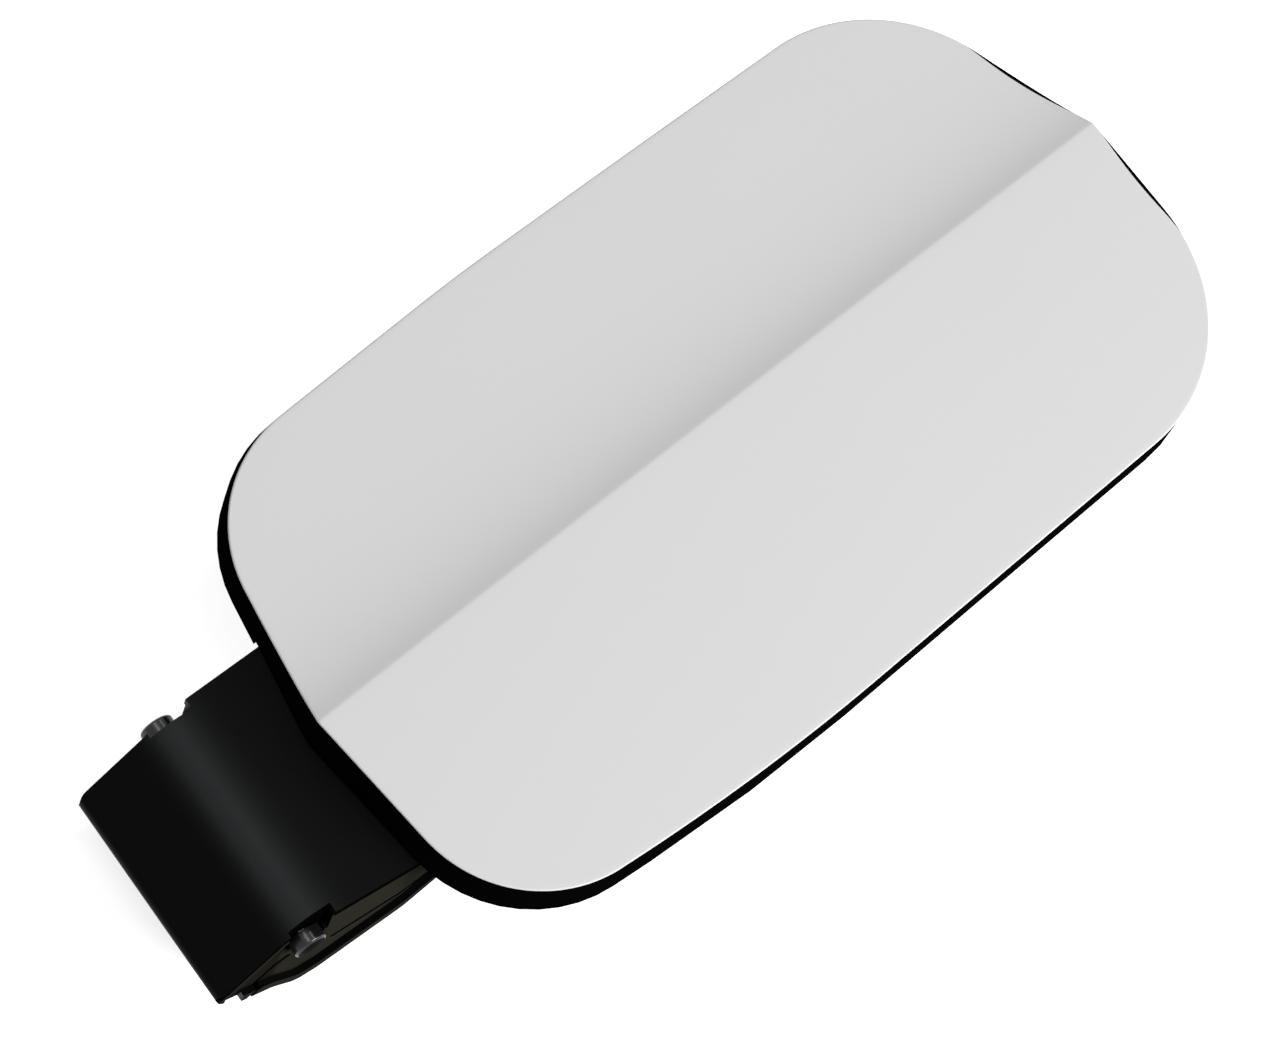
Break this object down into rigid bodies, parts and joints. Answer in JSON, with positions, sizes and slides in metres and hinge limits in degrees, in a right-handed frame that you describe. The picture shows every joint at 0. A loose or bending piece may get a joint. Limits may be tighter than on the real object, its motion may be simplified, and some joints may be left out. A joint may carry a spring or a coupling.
{
  "type": "car fuel door",
  "caption": "Hinged car fuel door: a creased pale skin bonded to a ribbed black carrier on a gooseneck arm that turns about a rod, with latch striker and cap holder.",
  "frame": {"origin": "middle of the hinge axis, between the two pivots", "axes": "+Y along the hinge axis, +X towards the free end of the door, +Z out of the car with the door shut"},
  "size_m": [0.2886, 0.1473, 0.0535],
  "materials": {
    "skin": "flat pale grey, unpainted",
    "bead": "dull bonding paste",
    "carrier": "fine grained black",
    "arm": "satin black",
    "screw": "zinc plated",
    "rod": "ground bright",
    "bush": "smooth black acetal",
    "spring": "drawn wire",
    "fitting": "fine grained black",
    "buffer": "dull black rubber"
  },
  "bodies": {
    "hinge_pin": {"hinge_rod": "rod", "pivot_bush_left": "bush", "pivot_bush_right": "bush", "spring_sleeve": "bush", "torsion_spring": "spring"},
    "door": {"outer_skin": "skin", "bond_bead": "bead", "inner_carrier": "carrier", "hinge_arm": "arm", "arm_screws": "screw", "arm_bush_left": "bush", "arm_bush_right": "bush", "latch_striker": "fitting", "striker_screws": "screw", "cap_holder": "fitting", "cap_holder_screws": "screw", "bump_stop_1": "buffer", "bump_stop_2": "buffer", "bump_stop_3": "buffer", "bump_stop_4": "buffer"}
  },
  "joints": [
    {"name": "door_hinge", "type": "hinge", "parent": "hinge_pin", "child": "door", "pos_m": [0, 0, 0], "axis": [0, -1, 0], "range_deg": [0, 95]}
  ]
}
